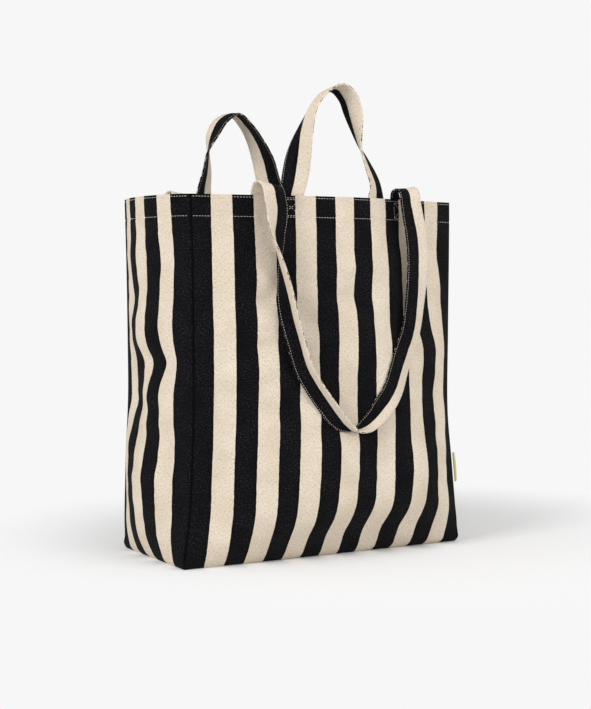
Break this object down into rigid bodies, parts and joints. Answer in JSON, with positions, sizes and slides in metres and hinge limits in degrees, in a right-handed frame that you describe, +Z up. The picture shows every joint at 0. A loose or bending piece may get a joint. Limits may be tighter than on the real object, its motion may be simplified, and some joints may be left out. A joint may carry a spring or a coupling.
{
  "type": "tote bag",
  "caption": "Open striped canvas tote bag with a flat base, side gussets that crease inwards, short hand handles that stand up and long shoulder straps hanging outside.",
  "frame": {"origin": "middle of the base, on the surface the bag stands on", "axes": "+Z up; the front wall faces -Y; +X is towards the bag's right as seen from the front"},
  "size_m": [0.3711, 0.241, 0.54],
  "materials": {
    "striped_canvas": "plain weave with black stripes",
    "hem_canvas": "plain weave with black stripes",
    "strap_canvas": "half black, half cream",
    "seam_canvas": "plain weave",
    "thread": "matt",
    "tag_cloth": "woven"
  },
  "bodies": {
    "root": {"base_panel": "striped_canvas", "side_tag": "tag_cloth", "base_left_seam": "seam_canvas", "base_right_seam": "seam_canvas", "front_panel": "striped_canvas", "front_hem": "hem_canvas", "front_hem_stitching": "thread", "front_box_stitching": "thread", "front_handle_tails": "strap_canvas", "front_strap_tails": "strap_canvas", "front_handle_roots": "strap_canvas", "front_strap_roots": "strap_canvas", "front_left_seam": "seam_canvas", "front_right_seam": "seam_canvas"},
    "left_front_gusset": {"left_gusset_front": "striped_canvas", "left_gusset_front_hem": "hem_canvas", "left_gusset_front_stitching": "thread"},
    "left_back_gusset": {"left_gusset_back": "striped_canvas", "left_gusset_back_hem": "hem_canvas", "left_gusset_back_stitching": "thread"},
    "right_front_gusset": {"right_gusset_front": "striped_canvas", "right_gusset_front_hem": "hem_canvas", "right_gusset_front_stitching": "thread"},
    "right_back_gusset": {"right_gusset_back": "striped_canvas", "right_gusset_back_hem": "hem_canvas", "right_gusset_back_stitching": "thread"},
    "back_wall": {"back_panel": "striped_canvas", "back_hem": "hem_canvas", "back_hem_stitching": "thread", "back_box_stitching": "thread", "back_handle_tails": "strap_canvas", "back_strap_tails": "strap_canvas", "back_handle_roots": "strap_canvas", "back_strap_roots": "strap_canvas", "back_left_seam": "seam_canvas", "back_right_seam": "seam_canvas"},
    "front_handle_loop": {"front_handle": "strap_canvas", "front_handle_stitching": "thread"},
    "front_strap_loop": {"front_shoulder_strap": "strap_canvas", "front_strap_stitching": "thread"},
    "back_handle_loop": {"back_handle": "strap_canvas", "back_handle_stitching": "thread"},
    "back_strap_loop": {"back_shoulder_strap": "strap_canvas", "back_strap_stitching": "thread"}
  },
  "joints": [
    {"name": "bag_fold", "type": "hinge", "parent": "root", "child": "left_front_gusset", "pos_m": [-0.1819, -0.0849, 0.2], "axis": [0, 0, -1], "range_deg": [0, 85]},
    {"name": "left_gusset_crease", "type": "hinge", "parent": "left_front_gusset", "child": "left_back_gusset", "pos_m": [-0.1845, 0, 0.2], "axis": [0, 0, 1], "range_deg": [0, 180]},
    {"name": "left_back_seam", "type": "hinge", "parent": "left_back_gusset", "child": "back_wall", "pos_m": [-0.1819, 0.0849, 0.2], "axis": [0, 0, -1], "range_deg": [0, 90]},
    {"name": "right_front_seam", "type": "hinge", "parent": "root", "child": "right_front_gusset", "pos_m": [0.1819, -0.0849, 0.2], "axis": [0, 0, 1], "range_deg": [0, 90]},
    {"name": "right_gusset_crease", "type": "hinge", "parent": "right_front_gusset", "child": "right_back_gusset", "pos_m": [0.1845, 0, 0.2], "axis": [0, 0, -1], "range_deg": [0, 180]},
    {"name": "front_handle_tilt", "type": "hinge", "parent": "root", "child": "front_handle_loop", "pos_m": [0, -0.1129, 0.413], "axis": [1, 0, 0], "range_deg": [-57, 160], "deforming": ["front_handle_roots"]},
    {"name": "front_strap_swing", "type": "hinge", "parent": "root", "child": "front_strap_loop", "pos_m": [0, -0.1158, 0.415], "axis": [-1, 0, 0], "range_deg": [0, 180], "deforming": ["front_strap_roots"]},
    {"name": "back_handle_tilt", "type": "hinge", "parent": "back_wall", "child": "back_handle_loop", "pos_m": [0, 0.1129, 0.413], "axis": [-1, 0, 0], "range_deg": [-57, 160], "deforming": ["back_handle_roots"]},
    {"name": "back_strap_swing", "type": "hinge", "parent": "back_wall", "child": "back_strap_loop", "pos_m": [0, 0.1158, 0.415], "axis": [1, 0, 0], "range_deg": [0, 180], "deforming": ["back_strap_roots"]}
  ],
  "couplings": [
    {"joint": "left_gusset_crease", "follows": "bag_fold", "ratio": 2},
    {"joint": "left_back_seam", "follows": "bag_fold", "ratio": 1},
    {"joint": "right_front_seam", "follows": "bag_fold", "ratio": 1},
    {"joint": "right_gusset_crease", "follows": "bag_fold", "ratio": 2}
  ]
}
